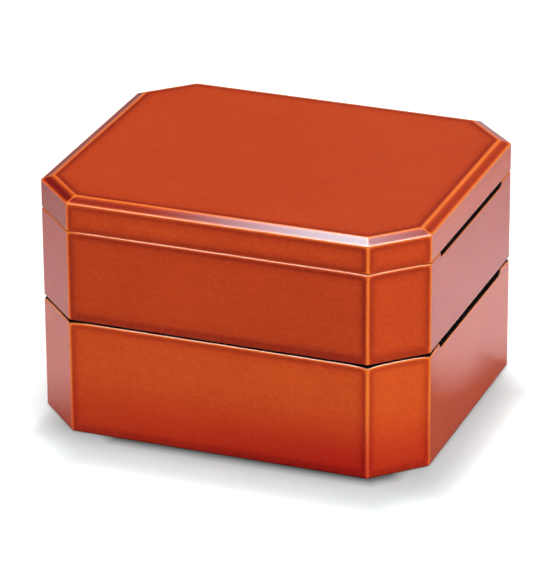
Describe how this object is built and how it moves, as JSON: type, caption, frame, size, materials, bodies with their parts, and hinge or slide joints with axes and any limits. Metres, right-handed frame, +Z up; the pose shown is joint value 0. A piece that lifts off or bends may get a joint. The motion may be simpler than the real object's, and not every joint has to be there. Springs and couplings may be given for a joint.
{
  "type": "stacking lacquer box",
  "caption": "Eight-sided stacking food box with a deeper lower tier, a shallower upper tier and a flush bevelled lid that lift apart, each of mitred boards.",
  "frame": {"origin": "on the table under the middle of the box", "axes": "+X to the right along the longer side, +Y to the back, +Z up; front faces -Y"},
  "size_m": [0.205, 0.173, 0.1264],
  "materials": {
    "amber_lacquer": "transparent amber-red lacquer, polished to a mirror gloss",
    "black_lacquer": "black lacquer, glossy",
    "bare_wood": "bare planed wood"
  },
  "bodies": {
    "lower_tier": {"lower_front_board": "amber_lacquer", "lower_front_right_board": "amber_lacquer", "lower_right_board": "amber_lacquer", "lower_back_right_board": "amber_lacquer", "lower_back_board": "amber_lacquer", "lower_back_left_board": "amber_lacquer", "lower_left_board": "amber_lacquer", "lower_front_left_board": "amber_lacquer", "lower_bottom_board": "black_lacquer", "lower_splines": "bare_wood"},
    "upper_tier": {"upper_front_board": "amber_lacquer", "upper_front_right_board": "amber_lacquer", "upper_right_board": "amber_lacquer", "upper_back_right_board": "amber_lacquer", "upper_back_board": "amber_lacquer", "upper_back_left_board": "amber_lacquer", "upper_left_board": "amber_lacquer", "upper_front_left_board": "amber_lacquer", "upper_bottom_board": "black_lacquer", "upper_splines": "bare_wood"},
    "lid": {"lid_front_strip": "amber_lacquer", "lid_front_right_strip": "amber_lacquer", "lid_right_strip": "amber_lacquer", "lid_back_right_strip": "amber_lacquer", "lid_back_strip": "amber_lacquer", "lid_back_left_strip": "amber_lacquer", "lid_left_strip": "amber_lacquer", "lid_front_left_strip": "amber_lacquer", "lid_top_board": "amber_lacquer"}
  },
  "joints": [
    {"name": "upper_tier_lift", "type": "slide", "parent": "lower_tier", "child": "upper_tier", "axis": [0, 0, 1], "range_m": [0, 0.08]},
    {"name": "lid_lift", "type": "slide", "parent": "upper_tier", "child": "lid", "axis": [0, 0, 1], "range_m": [0, 0.08]}
  ]
}
